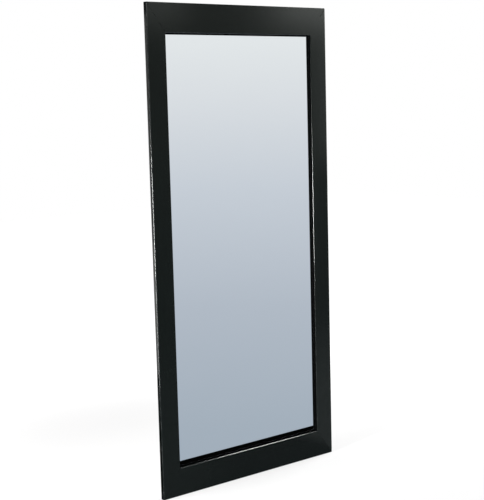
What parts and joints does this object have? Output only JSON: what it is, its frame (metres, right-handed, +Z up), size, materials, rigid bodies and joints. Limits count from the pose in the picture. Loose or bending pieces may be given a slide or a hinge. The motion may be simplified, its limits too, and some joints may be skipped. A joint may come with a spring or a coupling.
{
  "type": "full length mirror",
  "caption": "Tall rectangular wall mirror in a wide flat black lacquered frame with mitred corners, hung by D rings, with a backing board held by turn buttons.",
  "frame": {"origin": "on the wall, midway between the two hooks, at the height where the D rings take them", "axes": "+X across the mirror to the right of someone looking at it, +Y from its face back to the wall, +Z up"},
  "size_m": [0.8, 0.03, 1.7],
  "materials": {
    "black_lacquer": "satin",
    "silvered_glass": "polished",
    "safety_film": "matte",
    "black_rubber": "matte",
    "cardboard": "matte",
    "hardboard": "matte",
    "bumper_rubber": "matte",
    "nail_steel": "satin",
    "zinc_steel": "satin",
    "screw_steel": "satin",
    "ring_steel": "gloss"
  },
  "bodies": {
    "frame": {"backing_board": "hardboard", "bottom_rail": "black_lacquer", "cardboard_sheet": "cardboard", "corner_plate_bottom_left": "zinc_steel", "corner_plate_bottom_right": "zinc_steel", "corner_plate_screws": "screw_steel", "corner_plate_top_left": "zinc_steel", "corner_plate_top_right": "zinc_steel", "edge_spacers": "black_rubber", "glazing_tape_bottom": "black_rubber", "glazing_tape_left": "black_rubber", "glazing_tape_right": "black_rubber", "glazing_tape_top": "black_rubber", "hanger_screws": "screw_steel", "hanger_strap_left": "zinc_steel", "hanger_strap_right": "zinc_steel", "left_stile": "black_lacquer", "mirror_glass": "silvered_glass", "mitre_v_nails": "nail_steel", "right_stile": "black_lacquer", "safety_film": "safety_film", "setting_blocks": "black_rubber", "top_rail": "black_lacquer", "turn_button_screws": "screw_steel", "wall_bumpers": "bumper_rubber"},
    "hanger_ring_left": {"hanger_ring_left": "ring_steel"},
    "hanger_ring_right": {"hanger_ring_right": "ring_steel"},
    "turn_button_bottom_left": {"turn_button_bottom_left": "zinc_steel"},
    "turn_button_bottom_right": {"turn_button_bottom_right": "zinc_steel"},
    "turn_button_left_lower": {"turn_button_left_lower": "zinc_steel"},
    "turn_button_left_middle": {"turn_button_left_middle": "zinc_steel"},
    "turn_button_left_upper": {"turn_button_left_upper": "zinc_steel"},
    "turn_button_right_lower": {"turn_button_right_lower": "zinc_steel"},
    "turn_button_right_middle": {"turn_button_right_middle": "zinc_steel"},
    "turn_button_right_upper": {"turn_button_right_upper": "zinc_steel"},
    "turn_button_top_left": {"turn_button_top_left": "zinc_steel"},
    "turn_button_top_right": {"turn_button_top_right": "zinc_steel"}
  },
  "joints": [
    {"name": "hanger_ring_left_swing", "type": "hinge", "parent": "frame", "child": "hanger_ring_left", "pos_m": [-0.376, -0.0052, -0.016], "axis": [1, 0, 0], "range_deg": [0, 174.8]},
    {"name": "hanger_ring_right_swing", "type": "hinge", "parent": "frame", "child": "hanger_ring_right", "pos_m": [0.376, -0.0052, -0.016], "axis": [1, 0, 0], "range_deg": [0, 174.8]},
    {"name": "turn_button_left_upper_turn", "type": "hinge", "parent": "frame", "child": "turn_button_left_upper", "pos_m": [-0.342, -0.008, 0.15], "axis": [0, 1, 0], "continuous": true},
    {"name": "turn_button_left_middle_turn", "type": "hinge", "parent": "frame", "child": "turn_button_left_middle", "pos_m": [-0.342, -0.008, -0.45], "axis": [0, 1, 0], "continuous": true},
    {"name": "turn_button_left_lower_turn", "type": "hinge", "parent": "frame", "child": "turn_button_left_lower", "pos_m": [-0.342, -0.008, -1.05], "axis": [0, 1, 0], "continuous": true},
    {"name": "turn_button_top_left_turn", "type": "hinge", "parent": "frame", "child": "turn_button_top_left", "pos_m": [-0.205, -0.008, 0.317], "axis": [0, 1, 0], "continuous": true},
    {"name": "turn_button_bottom_left_turn", "type": "hinge", "parent": "frame", "child": "turn_button_bottom_left", "pos_m": [-0.205, -0.008, -1.217], "axis": [0, 1, 0], "continuous": true},
    {"name": "turn_button_right_upper_turn", "type": "hinge", "parent": "frame", "child": "turn_button_right_upper", "pos_m": [0.342, -0.008, 0.15], "axis": [0, 1, 0], "continuous": true},
    {"name": "turn_button_right_middle_turn", "type": "hinge", "parent": "frame", "child": "turn_button_right_middle", "pos_m": [0.342, -0.008, -0.45], "axis": [0, 1, 0], "continuous": true},
    {"name": "turn_button_right_lower_turn", "type": "hinge", "parent": "frame", "child": "turn_button_right_lower", "pos_m": [0.342, -0.008, -1.05], "axis": [0, 1, 0], "continuous": true},
    {"name": "turn_button_top_right_turn", "type": "hinge", "parent": "frame", "child": "turn_button_top_right", "pos_m": [0.205, -0.008, 0.317], "axis": [0, 1, 0], "continuous": true},
    {"name": "turn_button_bottom_right_turn", "type": "hinge", "parent": "frame", "child": "turn_button_bottom_right", "pos_m": [0.205, -0.008, -1.217], "axis": [0, 1, 0], "continuous": true}
  ]
}
